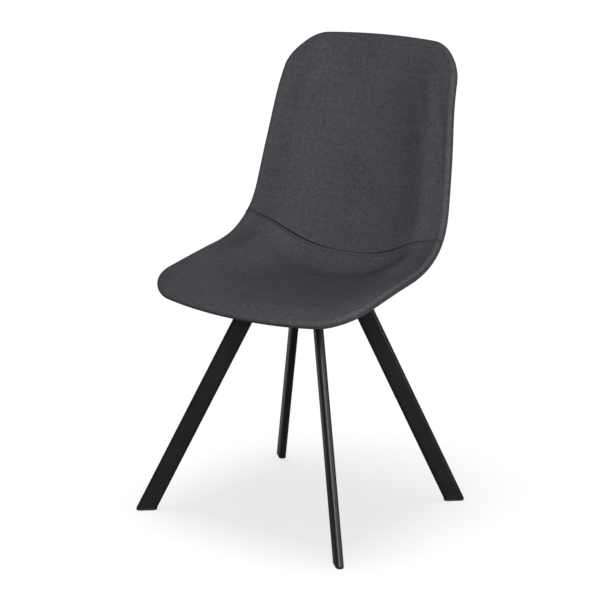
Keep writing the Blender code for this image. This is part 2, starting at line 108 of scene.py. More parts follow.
# ---- fineness of the upholstery --------------------------------------------------------
COLUMNS = 88
ROW_STEP = 0.0054
SEAM_STEPS = (0, .0002, .0005, .001, .0016, .0022, .0028, .0034, .004, .0045, .005, .0054, .0058,
              .0062, .0067, .0073, .0081, .0092, .0108, .013, .0158, .0192, .0234)
EDGE_RINGS = 12                 # rings round the edge before it turns into the edge seam


# ---- the shell's shape -----------------------------------------------------------------
def smooth_step(t):
    t = np.clip(t, 0.0, 1.0)
    return t * t * (3 - 2 * t)


def through(values, t):
    """Smooth curve through evenly spaced values, for t from 0 to 1."""
    values = np.asarray(values)
    slopes = np.gradient(values)
    last = len(values) - 1
    place = np.clip(t, 0.0, 1.0) * last
    i = np.minimum(place.astype(int), last - 1)
    f = place - i
    return (values[i] * (1 + 2 * f) * (1 - f) ** 2 + values[i + 1] * f * f * (3 - 2 * f)
            + slopes[i] * f * (1 - f) ** 2 + slopes[i + 1] * f * f * (f - 1))


def heading(l):
    turn = (BACK_HEADING - SEAT_HEADING) * smooth_step((l - BEND_START) / (BEND_END - BEND_START))
    lip = LIP_HEADING * np.exp(-l / LIP_LENGTH)
    top = TOP_HEADING * smooth_step((l - BEND_END) / (SHELL_LENGTH - BEND_END))
    return SEAT_HEADING + lip + turn + top


SPINE_STEP = 0.001
SPINE_L = np.arange(-5, round(SHELL_LENGTH / SPINE_STEP) + 6) * SPINE_STEP
SPINE_HEADING = heading(SPINE_L)
SPINE_MIDDLE = (SPINE_HEADING[1:] + SPINE_HEADING[:-1]) / 2
SPINE_Y = np.concatenate([[0], np.cumsum(np.cos(SPINE_MIDDLE))]) * SPINE_STEP
SPINE_Z = np.concatenate([[0], np.cumsum(np.sin(SPINE_MIDDLE))]) * SPINE_STEP
SPINE_Y += FRONT_EDGE_Y + SHIFT_Y - np.interp(0.0, SPINE_L, SPINE_Y)
SPINE_Z += FRONT_EDGE_Z - np.interp(0.0, SPINE_L, SPINE_Z)


def base_width(l):
    return through(HALF_WIDTHS, l / SHELL_LENGTH)


def middle_surface(x, l):
    lift = through(CURLS, l / SHELL_LENGTH) * (np.abs(x) / base_width(l)) ** CURL_POWER
    slope = np.interp(l, SPINE_L, SPINE_HEADING)
    y = np.interp(l, SPINE_L, SPINE_Y) - np.sin(slope) * lift
    z = np.interp(l, SPINE_L, SPINE_Z) + np.cos(slope) * lift
    return np.stack([x, y, z], axis=-1)


def bent(x, l, w):
    """Points w above the middle surface, on the sitter's side."""
    e = 0.001
    across = middle_surface(x + e, l) - middle_surface(x - e, l)
    along = middle_surface(x, l + e) - middle_surface(x, l - e)
    normal = np.cross(across, along)
    normal /= np.linalg.norm(normal, axis=-1, keepdims=True)
    return middle_surface(x, l) + normal * np.asarray(w)[..., None]


def end_edge(u, half_width, radius_x, radius_l):
    straight = half_width - radius_x
    arc = pi / 8 * (radius_x + radius_l)
    run = np.abs(u) * (straight + arc)
    angle = np.maximum(0.0, run - straight) / arc * pi / 4
    x = np.minimum(run, straight) + radius_x * np.sin(angle)
    return np.sign(u) * x, radius_l * (1 - np.cos(angle))


def outline_width(l, inset):
    """Half width of the blank at l, with its corners, drawn in by inset."""
    width = base_width(l) - inset
    front = np.maximum(0.0, FRONT_CORNER[1] - np.maximum(l, inset)) / (FRONT_CORNER[1] - inset)
    top = np.maximum(0.0, TOP_CORNER[1] - (SHELL_LENGTH - l)) / (TOP_CORNER[1] - inset)
    width = width - (FRONT_CORNER[0] - inset) * (1 - np.sqrt(np.maximum(0.0, 1 - front ** 2)))
    return width - (TOP_CORNER[0] - inset) * (1 - np.sqrt(np.maximum(0.0, 1 - top ** 2)))


def front_edge(u, inset):
    width = base_width(np.full_like(u, FRONT_CORNER[1])) - inset
    x, depth = end_edge(u, width, FRONT_CORNER[0] - inset, FRONT_CORNER[1] - inset)
    return x, inset + depth


def top_edge(u, inset):
    width = base_width(np.full_like(u, SHELL_LENGTH - TOP_CORNER[1])) - inset
    x, depth = end_edge(u, width, TOP_CORNER[0] - inset, TOP_CORNER[1] - inset)
    return x, SHELL_LENGTH - inset - depth


def seam_edge(u, inset):
    width = outline_width(np.full_like(u, SEAM_LENGTH + SEAM_RISE), inset)
    return u * width, SEAM_LENGTH + SEAM_RISE * u * u


def span(u, f, inset, low, high):
    """Between two edges of the blank, f from 0 to 1."""
    one = np.ones_like(u)
    x0, l0 = low(u, inset)
    x1, l1 = high(u, inset)
    corner0, side0 = low(one, inset)
    corner1, side1 = high(one, inset)
    side = side0 + (side1 - side0) * f
    bulge = outline_width(side, inset) - (corner0 + (corner1 - corner0) * f)
    return x0 + (x1 - x0) * f + u * bulge, l0 + (l1 - l0) * f


def blank_point(u, v, inset):
    """Place on the blank, with the front and top edges bowed out in the middle."""
    x0, l0 = span(u, np.minimum(v, 1.0), inset, front_edge, seam_edge)
    x1, l1 = span(u, np.maximum(v - 1.0, 0.0), inset, seam_edge, top_edge)
    x = np.where(v <= 1.0, x0, x1)
    l = np.where(v <= 1.0, l0, l1)
    share = (x / base_width(l)) ** 2
    l_front = FRONT_BOW * share * np.maximum(0.0, 1 - l / FRONT_CORNER[1])
    l_top = TOP_BOW * share * np.maximum(0.0, 1 - (SHELL_LENGTH - l) / TOP_CORNER[1])
    return x, l + l_front - l_top


def sink(u, v):
    return SEAT_SINK * (1 - u ** 4) * (1 - (v - 1) ** 6)


def on_edge(u, v, angle, radius, trim=0.0, sunk=0.0):
    """Points at an angle and a radius round the shell's edge, moved by trim along the blank."""
    inset = EDGE - radius * np.cos(angle)
    x, l = blank_point(u, v, inset)
    return bent(x, l + trim, radius * np.sin(angle) - sunk)


def fabric_place(u, v, angle):
    """Where a point lies on its cloth: the blank, carried on round the edge by arc length."""
    inset = np.full_like(u, EDGE)
    x, l = blank_point(u, v, inset)
    x_out, l_out = blank_point(u, v, inset * 0)
    step = np.hypot(x_out - x, l_out - l) + 1e-9
    arc = EDGE * (pi / 2 - np.abs(angle))
    return np.stack([x + (x_out - x) / step * arc, l + (l_out - l) / step * arc, 0 * x], axis=-1)


# ---- materials -------------------------------------------------------------------------
class Finish:
    """A node material, built one node at a time."""

    def __init__(self, name, roughness, **constants):
        self.made = bpy.data.materials.new(name)
        self.made.use_nodes = True
        self.tree = self.made.node_tree
        self.shader = self.tree.nodes["Principled BSDF"]
        self.shader.inputs["Roughness"].default_value = roughness
        for label, value in constants.items():
            self.shader.inputs[label.replace("_", " ")].default_value = value

    def put(self, socket, value):
        if isinstance(value, bpy.types.NodeSocket):
            self.tree.links.new(value, socket)
        else:
            socket.default_value = value

    def node(self, kind, values=(), **settings):
        made = self.tree.nodes.new(kind)
        for label, value in settings.items():
            setattr(made, label, value)
        for key, value in dict(values).items():
            self.put(made.inputs[key], value)
        return made

    def math(self, operation, a, b=0.0):
        return self.node("ShaderNodeMath", {0: a, 1: b}, operation=operation).outputs[0]

    def scaled(self, vector, scale):
        made = self.node("ShaderNodeVectorMath", {0: vector, 1: scale}, operation='MULTIPLY')
        return made.outputs[0]

    def noise(self, vector, scale, detail=2.0, roughness=0.5):
        """Noise about zero, from roughly -0.5 to 0.5."""
        made = self.node("ShaderNodeTexNoise", {"Vector": vector, "Scale": scale,
                                                "Detail": detail, "Roughness": roughness})
        return self.math('SUBTRACT', made.outputs["Fac"], 0.5)

    def mix(self, share, a, b, kind='RGBA'):
        made = self.node("ShaderNodeMix", data_type=kind)
        self.put(made.inputs["Factor"], share)
        self.put(made.inputs["A"], a)
        self.put(made.inputs["B"], b)
        return made.outputs["Result"]

    def blend(self, share, a, b):
        return self.mix(share, a, b, 'FLOAT')

    def weighted(self, start, *terms):
        """A start value and the sum of the terms, each given as (value, weight)."""
        total = start
        for value, weight in terms:
            total = self.node("ShaderNodeMath", {0: value, 1: weight, 2: total},
                              operation='MULTIPLY_ADD').outputs[0]
        return total

    def coordinates(self):
        return self.node("ShaderNodeTexCoord").outputs["Object"]

    def bump(self, height, distance):
        made = self.node("ShaderNodeBump", {"Strength": 1.0, "Distance": distance,
                                            "Height": height})
        self.put(self.shader.inputs["Normal"], made.outputs["Normal"])

    def colour(self, value):
        self.put(self.shader.inputs["Base Color"], value)

    def roughness(self, value):
        self.put(self.shader.inputs["Roughness"], value)


YARN_PITCH = 0.0011
YARN_DRIFT = 1.6                # pitches by which a yarn wanders
SLUB_STRETCH = (560.0, 95.0)    # noise scale across a yarn and along it
# The cloth's colour takes a painted highlight on ridges and painted shade in creases and seams.
PAINTED_HIGHLIGHT_TONE = 1.6              # of the light yarn's colour, where the painted highlight lies
PAINTED_HIGHLIGHT_SHARE = 0.45
PAINTED_SHADE_TONE = 0.4              # of the dark yarn's colour, where the painted shade lies
PAINTED_SHADE_SHARE = 0.6


def shade(colour, factor):
    return tuple(factor * channel for channel in colour[:3]) + (1,)


def woven(name, dark, light):
    """Plain-weave upholstery cloth in a slubby melange yarn; painted shade in creases, painted
    highlight on ridges.

    It reads each point's place on the cloth from "blank", and from a second attribute its painted
    highlight (above 0) and painted shade (below 0).
    """
    f = Finish(name, 0.9, Specular_IOR_Level=0.15)
    place = f.node("ShaderNodeAttribute", attribute_name="blank").outputs["Vector"]
    drift = f.noise(place, 45.0)
    parts = f.node("ShaderNodeSeparateXYZ", {0: place})
    across = f.weighted(0.0, (parts.outputs["X"], 1 / YARN_PITCH), (drift, YARN_DRIFT))
    along = f.weighted(0.0, (parts.outputs["Y"], 1 / YARN_PITCH), (drift, -YARN_DRIFT))
    warp = f.math('FLOOR', across)
    weft = f.math('FLOOR', along)
    over = f.math('FLOORED_MODULO', f.math('ADD', warp, weft), 2.0)
    round_x = f.math('ABSOLUTE', f.math('SINE', f.math('MULTIPLY', across, pi)))
    round_l = f.math('ABSOLUTE', f.math('SINE', f.math('MULTIPLY', along, pi)))
    warp_up = f.math('MULTIPLY', round_x, f.math('SQRT', round_l))
    weft_up = f.math('MULTIPLY', round_l, f.math('SQRT', round_x))
    thread = f.blend(over, warp_up, weft_up)
    warp_tone = f.node("ShaderNodeTexWhiteNoise", {"W": warp}, noise_dimensions='1D').outputs[0]
    weft_tone = f.node("ShaderNodeTexWhiteNoise", {"W": weft}, noise_dimensions='1D').outputs[0]
    yarn = f.math('SUBTRACT', f.blend(over, warp_tone, weft_tone), 0.5)
    warp_slub = f.noise(f.scaled(place, SLUB_STRETCH + (1.0,)), 1.0, 3.0, 0.6)
    weft_slub = f.noise(f.scaled(place, SLUB_STRETCH[::-1] + (1.0,)), 1.0, 3.0, 0.6)
    mottle = f.noise(place, 140.0, 3.0, 0.6)
    cloud = f.noise(place, 11.0, 2.0)
    fuzz = f.noise(place, 2600.0, 2.0)
    tone = f.weighted(0.42, (warp_slub, 1.0), (weft_slub, 1.0), (mottle, 0.55), (cloud, 0.28),
                      (yarn, 0.22), (fuzz, 0.3), (thread, 0.12))
    cloth = f.mix(f.math('MINIMUM', f.math('MAXIMUM', tone, 0.0), 1.0), dark, light)
    # Painted highlight where this attribute is above 0, painted shade where it is below.
    painted_light = f.node("ShaderNodeAttribute", attribute_name="painted_light").outputs["Fac"]
    painted_highlight = f.math('MULTIPLY', f.math('MAXIMUM', painted_light, 0.0), PAINTED_HIGHLIGHT_SHARE)
    with_painted_highlights = f.mix(painted_highlight, cloth, shade(light, PAINTED_HIGHLIGHT_TONE))
    painted_shade = f.math('MAXIMUM', f.math('MULTIPLY', painted_light, -1.0), 0.0)
    f.colour(f.mix(f.math('MULTIPLY', painted_shade, PAINTED_SHADE_SHARE), with_painted_highlights,
                   shade(dark, PAINTED_SHADE_TONE)))
    f.roughness(f.weighted(0.9, (mottle, 0.18), (yarn, -0.06)))
    f.bump(f.weighted(0.0, (thread, 1.0), (warp_slub, 0.9), (weft_slub, 0.9), (fuzz, 0.35),
                      (mottle, 0.8)), 0.00022)
    return f.made


def powder_coat(name):
    """Satin black powder coat: orange peel, faint roughness patches, scuffs near the floor."""
    f = Finish(name, 0.32, Specular_IOR_Level=0.24)
    place = f.coordinates()
    peel = f.noise(place, 900.0, 2.0)
    patch = f.noise(place, 22.0, 3.0)
    grit = f.noise(place, 3400.0, 1.0)
    height = f.node("ShaderNodeSeparateXYZ", {0: place}).outputs["Z"]
    low = f.node("ShaderNodeMapRange", {"Value": height, "From Min": 0.075, "From Max": 0.004,
                                        "To Min": 0.0, "To Max": 1.0}).outputs["Result"]
    streak = f.noise(f.scaled(place, (260.0, 260.0, 30.0)), 1.0, 4.0, 0.7)
    scuff = f.math('MULTIPLY', low, f.math('GREATER_THAN', streak, 0.16))
    dust = f.math('MULTIPLY', low, f.weighted(0.35, (patch, 0.8)))
    coat = f.mix(f.weighted(0.5, (patch, 0.9), (grit, 0.5)), (0.0060, 0.0060, 0.0062, 1),
                 (0.0100, 0.0099, 0.0101, 1))
    dusty = f.mix(f.math('MULTIPLY', dust, 0.3), coat, (0.035, 0.034, 0.032, 1))
    f.colour(f.mix(f.math('MULTIPLY', scuff, 0.35), dusty, (0.04, 0.04, 0.041, 1)))
    f.roughness(f.weighted(0.32, (patch, 0.12), (scuff, 0.14), (grit, 0.05)))
    f.bump(f.weighted(0.0, (peel, 1.0), (grit, 0.25)), 0.00006)
    return f.made


def moulded(name):
    """Black moulded plastic with a fine spark-eroded grain."""
    f = Finish(name, 0.55, Specular_IOR_Level=0.4)
    place = f.coordinates()
    grain = f.noise(place, 1900.0, 3.0, 0.6)
    flow = f.noise(f.scaled(place, (60.0, 60.0, 300.0)), 1.0, 2.0)
    f.colour(f.mix(f.weighted(0.5, (flow, 0.8), (grain, 0.4)), (0.009, 0.009, 0.0095, 1),
                   (0.017, 0.017, 0.0175, 1)))
    f.roughness(f.weighted(0.55, (grain, 0.25), (flow, 0.12)))
    f.bump(grain, 0.00006)
    return f.made


def plated(name):
    """Bright zinc plate over machined steel, with a faint passivated tint."""
    f = Finish(name, 0.3, Metallic=1.0)
    place = f.coordinates()
    turned = f.noise(f.scaled(place, (250.0, 250.0, 5200.0)), 1.0, 2.0)
    tint = f.noise(place, 180.0, 2.0)
    tarnish = f.noise(place, 700.0, 4.0, 0.7)
    f.colour(f.mix(f.weighted(0.5, (tint, 1.4), (tarnish, 0.5)), (0.50, 0.51, 0.55, 1),
                   (0.68, 0.66, 0.60, 1)))
    f.roughness(f.weighted(0.3, (tarnish, 0.3), (turned, 0.15)))
    f.bump(turned, 0.00002)
    return f.made


def layered_wood(name):
    """Beech plywood: fine straight grain, pores, and the darker glue lines between plies."""
    f = Finish(name, 0.6)
    place = f.coordinates()
    grain = f.noise(f.scaled(place, (420.0, 14.0, 14.0)), 1.0, 5.0, 0.65)
    pores = f.noise(f.scaled(place, (1500.0, 90.0, 90.0)), 1.0, 2.0)
    plies = f.node("ShaderNodeTexWave", {"Vector": place, "Scale": 105.0, "Distortion": 1.5},
                   bands_direction='Z').outputs["Fac"]
    face = f.mix(f.weighted(0.5, (grain, 1.3), (pores, 0.4)), (0.42, 0.25, 0.125, 1),
                 (0.66, 0.46, 0.27, 1))
    f.colour(f.mix(f.math('MULTIPLY', plies, 0.25), face, (0.25, 0.14, 0.07, 1)))
    f.roughness(f.weighted(0.6, (grain, 0.2), (pores, 0.1)))
    f.bump(f.weighted(0.0, (grain, 0.6), (pores, 1.0)), 0.00012)
    return f.made


def sewing_thread(name):
    """Twisted polyester thread, a little smoother than the cloth."""
    f = Finish(name, 0.6, Sheen_Weight=0.15, Sheen_Roughness=0.4)
    place = f.coordinates()
    twist = f.node("ShaderNodeTexWave", {"Vector": place, "Scale": 620.0, "Distortion": 2.0},
                   bands_direction='DIAGONAL').outputs["Fac"]
    fuzz = f.noise(place, 3000.0, 2.0)
    f.colour(f.mix(f.weighted(0.0, (twist, 0.8), (fuzz, 0.4)), (0.034, 0.034, 0.038, 1),
                   (0.070, 0.071, 0.078, 1)))
    f.roughness(f.weighted(0.55, (fuzz, 0.3)))
    f.bump(twist, 0.00005)
    return f.made


COVER_FABRIC = woven("cover_fabric", (0.026, 0.0267, 0.030, 1), (0.086, 0.0875, 0.097, 1))
OUTER_FABRIC = woven("outer_fabric", (0.024, 0.0247, 0.028, 1), (0.079, 0.0805, 0.089, 1))
THREAD = sewing_thread("sewing_thread")
BLACK_STEEL = powder_coat("powder_coated_steel")
BLACK_PLASTIC = moulded("moulded_black_plastic")
ZINC = plated("zinc_plated_steel")
PLYWOOD = layered_wood("beech_plywood")


# ---- pieces ----------------------------------------------------------------------------
TINY = 1e-9


def add_piece(name, points, faces, finish, slot, nodes=(), sharp=40, cloth=None, painted_light=None):
    """A closed mesh as a piece that rides on the chair and stands for the given CAD nodes."""
    mesh = bpy.data.meshes.new(name)
    mesh.from_pydata([tuple(p) for p in points], [], [tuple(f) for f in faces])
    if cloth is not None:
        blank = mesh.attributes.new("blank", 'FLOAT_VECTOR', 'POINT')
        blank.data.foreach_set("vector", np.asarray(cloth, np.float32).ravel())
        # Per point, the painted highlight (above 0) and painted shade (below 0) for the cloth's
        # colour.
        painted_light_layer = mesh.attributes.new("painted_light", 'FLOAT', 'POINT')
        painted_light_layer.data.foreach_set("value", np.asarray(painted_light, np.float32))
    bm = bmesh.new()
    bm.from_mesh(mesh)
    bmesh.ops.recalc_face_normals(bm, faces=bm.faces)
    bm.to_mesh(mesh)
    bm.free()
    mesh.shade_smooth()
    mesh.set_sharp_from_angle(angle=radians(sharp))
    mesh.materials.append(finish)
    piece = bpy.data.objects.new(name, mesh)
    bpy.context.scene.collection.objects.link(piece)
    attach(piece, "root")
    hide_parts(*nodes)
    return piece


def lofted(loops, ring=False):
    """Points and faces through loops of equally many points, capped or closed into a ring."""
    count = len(loops[0])
    points = [p for loop in loops for p in loop]
    rows = len(loops)
    faces = []
    for k in range(rows if ring else rows - 1):
        low, high = k * count, (k + 1) % rows * count
        for i in range(count):
            j = (i + 1) % count
            faces.append((low + i, low + j, high + j, high + i))
    if not ring:
        faces.append(range(count))
        faces.append(range((rows - 1) * count, rows * count))
    return points, faces


def joined(shapes):
    """Several (points, faces) as one."""
    points, faces = [], []
    for some_points, some_faces in shapes:
        faces += [[i + len(points) for i in face] for face in some_faces]
        points += list(some_points)
    return points, faces


# ---- upholstery ------------------------------------------------------------------------
def rows_from_seam(length):
    """Row places as distances from the seam: close together at it, then evenly spaced."""
    rest = length - SEAM_STEPS[-1]
    count = round(rest / ROW_STEP)
    return list(SEAM_STEPS) + [SEAM_STEPS[-1] + rest * (i + 1) / count for i in range(count)]


SEAT_SPAN = SEAM_LENGTH - EDGE
BACK_SPAN = SHELL_LENGTH - EDGE - SEAM_LENGTH
SEAT_ROWS = [1 - s / SEAT_SPAN for s in reversed(rows_from_seam(SEAT_SPAN))]
BACK_ROWS = [1 + s / BACK_SPAN for s in rows_from_seam(BACK_SPAN)]
OUTER_ROW_COUNTS = (62, 78)     # up to the seam's height, and from there to the top
OUTER_ROWS = list(np.linspace(0, 1, OUTER_ROW_COUNTS[0]))
OUTER_ROWS += list(np.linspace(1, 2, OUTER_ROW_COUNTS[1]))[1:]

# Rings round a piece's edge, each an angle in degrees and how far it is turned in.
FRONT_RINGS = [(90 - 98 * k / EDGE_RINGS, 0.0) for k in range(EDGE_RINGS + 1)]
FRONT_RINGS += [(-11.0, -.0001), (-13.0, -.0004), (-14.6, -.0009), (-15.6, -.0016),
                (-16.2, -.0026)]
REAR_RINGS = [(-90 + 64 * k / EDGE_RINGS, 0.0) for k in range(EDGE_RINGS + 1)]
REAR_RINGS += [(-23.0, -.0001), (-21.0, -.0004), (-19.4, -.0009), (-18.4, -.0016),
               (-17.8, -.0026)]

# A hump is given as (where it lies, its width, its height).
STITCH_LINE = 0.0056            # from the seam to the row of stitches beside it
SEAT_RIDGE = (0.0033, 0.0013, 0.0016)
SEAT_GROOVE = (STITCH_LINE, 0.0009, 0.0013)
SEAT_FULLNESS = (0.0098, 0.0032, 0.0006)
SEAT_EDGE_ROLL = 0.0026
BACK_RIDGE = (0.0050, 0.0028, 0.0006)
BACK_EDGE_ROLL = 0.0030
BACK_PUFF = (0.030, 0.017, 0.0026)
SEAT_SIDE_ROLL = (0.042, 0.056, 0.0108)
BACK_SIDE_ROLL = (0.048, 0.066, 0.0100)
ROLL_START = 0.16               # up the blank, where the side rolls begin to rise
ROLL_END = SHELL_LENGTH - 0.01
ROLL_EASE = 0.12
ROLL_SIDE_EASE = 0.048          # from the side, where the rolls have their full height
HOLLOW_PLACE = 0.057            # from the seam to the seat's hollow, in the middle
HOLLOW_TURN = 0.046             # by how much the hollow nears the seam at the sides
HOLLOW_TURN_POWER = 1.5
HOLLOW_WIDTH = 0.040
HOLLOW_DEPTH = 0.0090
SHOULDER = 0.042                # over which a pad's shoulder falls towards its edge
SHOULDER_DROP = 0.0042
SHOULDER_SLOPE = 1.3            # how fast the drop goes on growing as the edge turns down
UNEVENNESS = 0.00035
EVEN_SEAM = 0.03                # from the seam, over which the unevenness comes in
EVEN_RINGS = 4                  # and the rings over which it goes out at the edge
PULL_DEPTH = 0.0004
PULL_START = 0.004
PULL_LENGTH = 0.018
PUFF_CAP = 0.0007               # the farthest that the simulation may move a point
HELD_RINGS = 5                  # rings over which the cloth is held ever harder
HELD_SEAM = 0.012
# Painted highlight on the ridges beside the seam, painted shade in the seam and the stitched
# groove.
RIDGE_HIGHLIGHT = (0.0032, 0.0012, 1.0)
BACK_RIDGE_HIGHLIGHT = (0.0032, 0.0012, 0.1)
SEAM_SHADE = (0.0, 0.0012, 0.5)
GROOVE_SHADE = (STITCH_LINE, 0.0009, 0.6)
EDGE_SHADE_REACH = 0.0009            # how far in the cloth turns before its painted shade is full


def hump(s, place, width, height):
    return height * np.exp(-((s - place) / width) ** 2)


def rolled(s, radius):
    """How far a cloth edge rolls down into its seam."""
    reach = np.clip(radius - s, 0.0, radius)
    return radius - np.sqrt(radius ** 2 - reach ** 2)


def seat_profile(s):
    """Height beside the seam, on the seat: rolled edge, ridge, stitched groove, fullness."""
    return (hump(s, *SEAT_RIDGE) - rolled(s, SEAT_EDGE_ROLL) - hump(s, *SEAT_GROOVE)
            + hump(s, *SEAT_FULLNESS))


def back_profile(s):
    return hump(s, *BACK_RIDGE) - rolled(s, BACK_EDGE_ROLL)


def from_seam(v, profile):
    """Distance along the blank from the seam, where v is 1."""
    return np.abs(v - 1) * (SEAT_SPAN if profile is seat_profile else BACK_SPAN)


def fullness(profile, u, v, angle):
    """Height of a pad's foam over the plain shell: seam, hollow, side rolls and soft edge."""
    on_seat = profile is seat_profile
    s = from_seam(v, profile)
    x, l = blank_point(u, v, np.full_like(u, EDGE))
    from_side = outline_width(l, EDGE) - np.abs(x)
    raised = smooth_step((l - ROLL_START) / ROLL_EASE) * smooth_step((ROLL_END - l) / ROLL_EASE)
    side_roll = hump(from_side, *(SEAT_SIDE_ROLL if on_seat else BACK_SIDE_ROLL))
    side_roll = side_roll * raised * smooth_step(from_side / ROLL_SIDE_EASE)
    middle = 1 - u ** 4
    if on_seat:
        place = HOLLOW_PLACE - HOLLOW_TURN * np.abs(u) ** HOLLOW_TURN_POWER
        across_middle = -middle * hump(s, place, HOLLOW_WIDTH, HOLLOW_DEPTH)
    else:
        across_middle = middle * hump(s, *BACK_PUFF)
    return profile(s) + side_roll + across_middle - softened(u, v, angle)


def softened(u, v, angle):
    """How far a pad's shoulder lies below a plain rounded edge: its edge is a soft oval."""
    x, l = blank_point(u, v, np.full_like(u, EDGE))
    side = (outline_width(l, EDGE) - np.abs(x)) / SHOULDER
    end = np.minimum(l - EDGE - FRONT_BOW * (x / base_width(l)) ** 2,
                     SHELL_LENGTH - EDGE - l) / SHOULDER
    inside = np.clip(1 - np.hypot(np.clip(1 - side, 0, 1), np.clip(1 - end, 0, 1)), 0, 1)
    t = np.clip((90 - np.degrees(angle)) / 90, 0, 1)
    round_edge = (2 * t ** 3 - 3 * t ** 2 + 1) + SHOULDER_SLOPE * (t ** 3 - 2 * t ** 2 + t)
    return SHOULDER_DROP * np.where(t > 0, round_edge, (1 - inside) ** 2)


def uneven(x, l, seed):
    """The slight unevenness of hand-upholstered foam."""
    return np.array([noise.noise(Vector((a * 17, b * 17, seed)))
                     + 0.45 * noise.noise(Vector((a * 43, b * 43, seed + 9)))
                     for a, b in zip(x, l)])


def pulls(x, s, seed):
    """Small pulls in the cloth that run away from the seam and fade."""
    fade = np.exp(-s / PULL_LENGTH) * (1 - np.exp(-s / PULL_START))
    return fade * np.array([noise.noise(Vector((a * 95, b * 14, seed))) for a, b in zip(x, s)])


class Grid:
    """A face of the upholstery: core rows and columns, then rings round its edge."""

    def __init__(self, rows, rings, closed):
        us = np.linspace(-1, 1, COLUMNS + 1)
        wide = len(us)
        tall = len(rows)
        u, v = np.meshgrid(us, rows)
        core = np.arange(wide * tall).reshape(tall, wide)
        front_open = rows[0] == 1.0
        bottom = [] if front_open else list(core[0])
        top = list(core[-1]) if closed or front_open else []
        left = list(core[::-1, 0])
        right = list(core[:, -1])
        if closed:
            chain = left[:-1] + bottom[:-1] + right[:-1] + top[::-1][:-1]
        elif front_open:
            chain = right[:-1] + top[::-1][:-1] + left
        else:
            chain = left[:-1] + bottom[:-1] + right
        self.us, self.vs, self.rings = list(u.ravel()), list(v.ravel()), [0] * (wide * tall)
        self.faces = [(core[j, i], core[j, i + 1], core[j + 1, i + 1], core[j + 1, i])
                      for j in range(tall - 1) for i in range(wide - 1)]
        lower = chain
        steps = len(chain) if closed else len(chain) - 1
        for k in range(1, len(rings)):
            first = len(self.us)
            upper = list(range(first, first + len(chain)))
            self.us += [self.us[i] for i in chain]
            self.vs += [self.vs[i] for i in chain]
            self.rings += [k] * len(chain)
            for i in range(steps):
                j = (i + 1) % len(chain)
                self.faces.append((lower[i], upper[i], upper[j], lower[j]))
            lower = upper
        self.u = np.array(self.us)
        self.v = np.array(self.vs)
        self.ring = np.array(self.rings)
        self.angle = np.radians([rings[k][0] for k in self.ring])
        self.turned_in = np.array([rings[k][1] for k in self.ring])


def painted_light_at(s, turned_in, profile):
    """How much painted highlight (up to 1) or painted shade (down to -1) each point's colour
    gets.
    """
    # Painted shade where the cloth turns in at the edge seam.
    painted_edge_shade = np.clip(-turned_in / EDGE_SHADE_REACH, 0, 1)
    if profile is None:
        return -painted_edge_shade
    if profile is seat_profile:
        return hump(s, *RIDGE_HIGHLIGHT) - hump(s, *SEAM_SHADE) - hump(s, *GROOVE_SHADE) - painted_edge_shade
    return hump(s, *BACK_RIDGE_HIGHLIGHT) - hump(s, *SEAM_SHADE) - painted_edge_shade


def rim_of(faces):
    """The directed edges that only one face uses."""
    seen = {}
    for face in faces:
        for a, b in zip(face, tuple(face[1:]) + tuple(face[:1])):
            seen[(a, b)] = True
    return [(a, b) for a, b in seen if (b, a) not in seen]


HELD_LEVELS = 10
LAST_MOMENT = 20


def swell(name, points, faces, held, cap):
    """The cover swollen by its foam: cloth under pressure, held at its seams and edges."""
    mesh = bpy.data.meshes.new(name)
    mesh.from_pydata([tuple(p) for p in points], [], [tuple(f) for f in faces])
    sheet = bpy.data.objects.new(name, mesh)
    bpy.context.scene.collection.objects.link(sheet)
    group = sheet.vertex_groups.new(name="held")
    for level in range(1, HELD_LEVELS + 1):
        chosen = np.nonzero(np.round(held * HELD_LEVELS) == level)[0]
        group.add([int(i) for i in chosen], level / HELD_LEVELS, 'REPLACE')
    cloth = sheet.modifiers.new("swell", 'CLOTH')
    cloth.settings.quality = 5
    cloth.settings.mass = 0.25
    cloth.settings.tension_stiffness = 40
    cloth.settings.compression_stiffness = 40
    cloth.settings.shear_stiffness = 15
    cloth.settings.bending_stiffness = 2
    cloth.settings.air_damping = 3
    cloth.settings.use_pressure = True
    cloth.settings.uniform_pressure_force = 4
    cloth.settings.vertex_group_mass = "held"
    cloth.settings.effector_weights.gravity = 0
    cloth.point_cache.frame_start = 1
    cloth.point_cache.frame_end = LAST_MOMENT
    for moment in range(1, LAST_MOMENT + 1):
        bpy.context.scene.frame_set(moment)
    graph = bpy.context.evaluated_depsgraph_get()
    swollen = sheet.evaluated_get(graph).data
    after = np.empty(len(points) * 3)
    swollen.vertices.foreach_get("co", after)
    moved = after.reshape(-1, 3) - points
    bpy.data.objects.remove(sheet)
    bpy.data.meshes.remove(mesh)
    bpy.context.scene.frame_set(1)
    far = np.linalg.norm(moved, axis=1) + TINY
    return points + moved * (cap * np.tanh(far / cap) / far)[:, None]


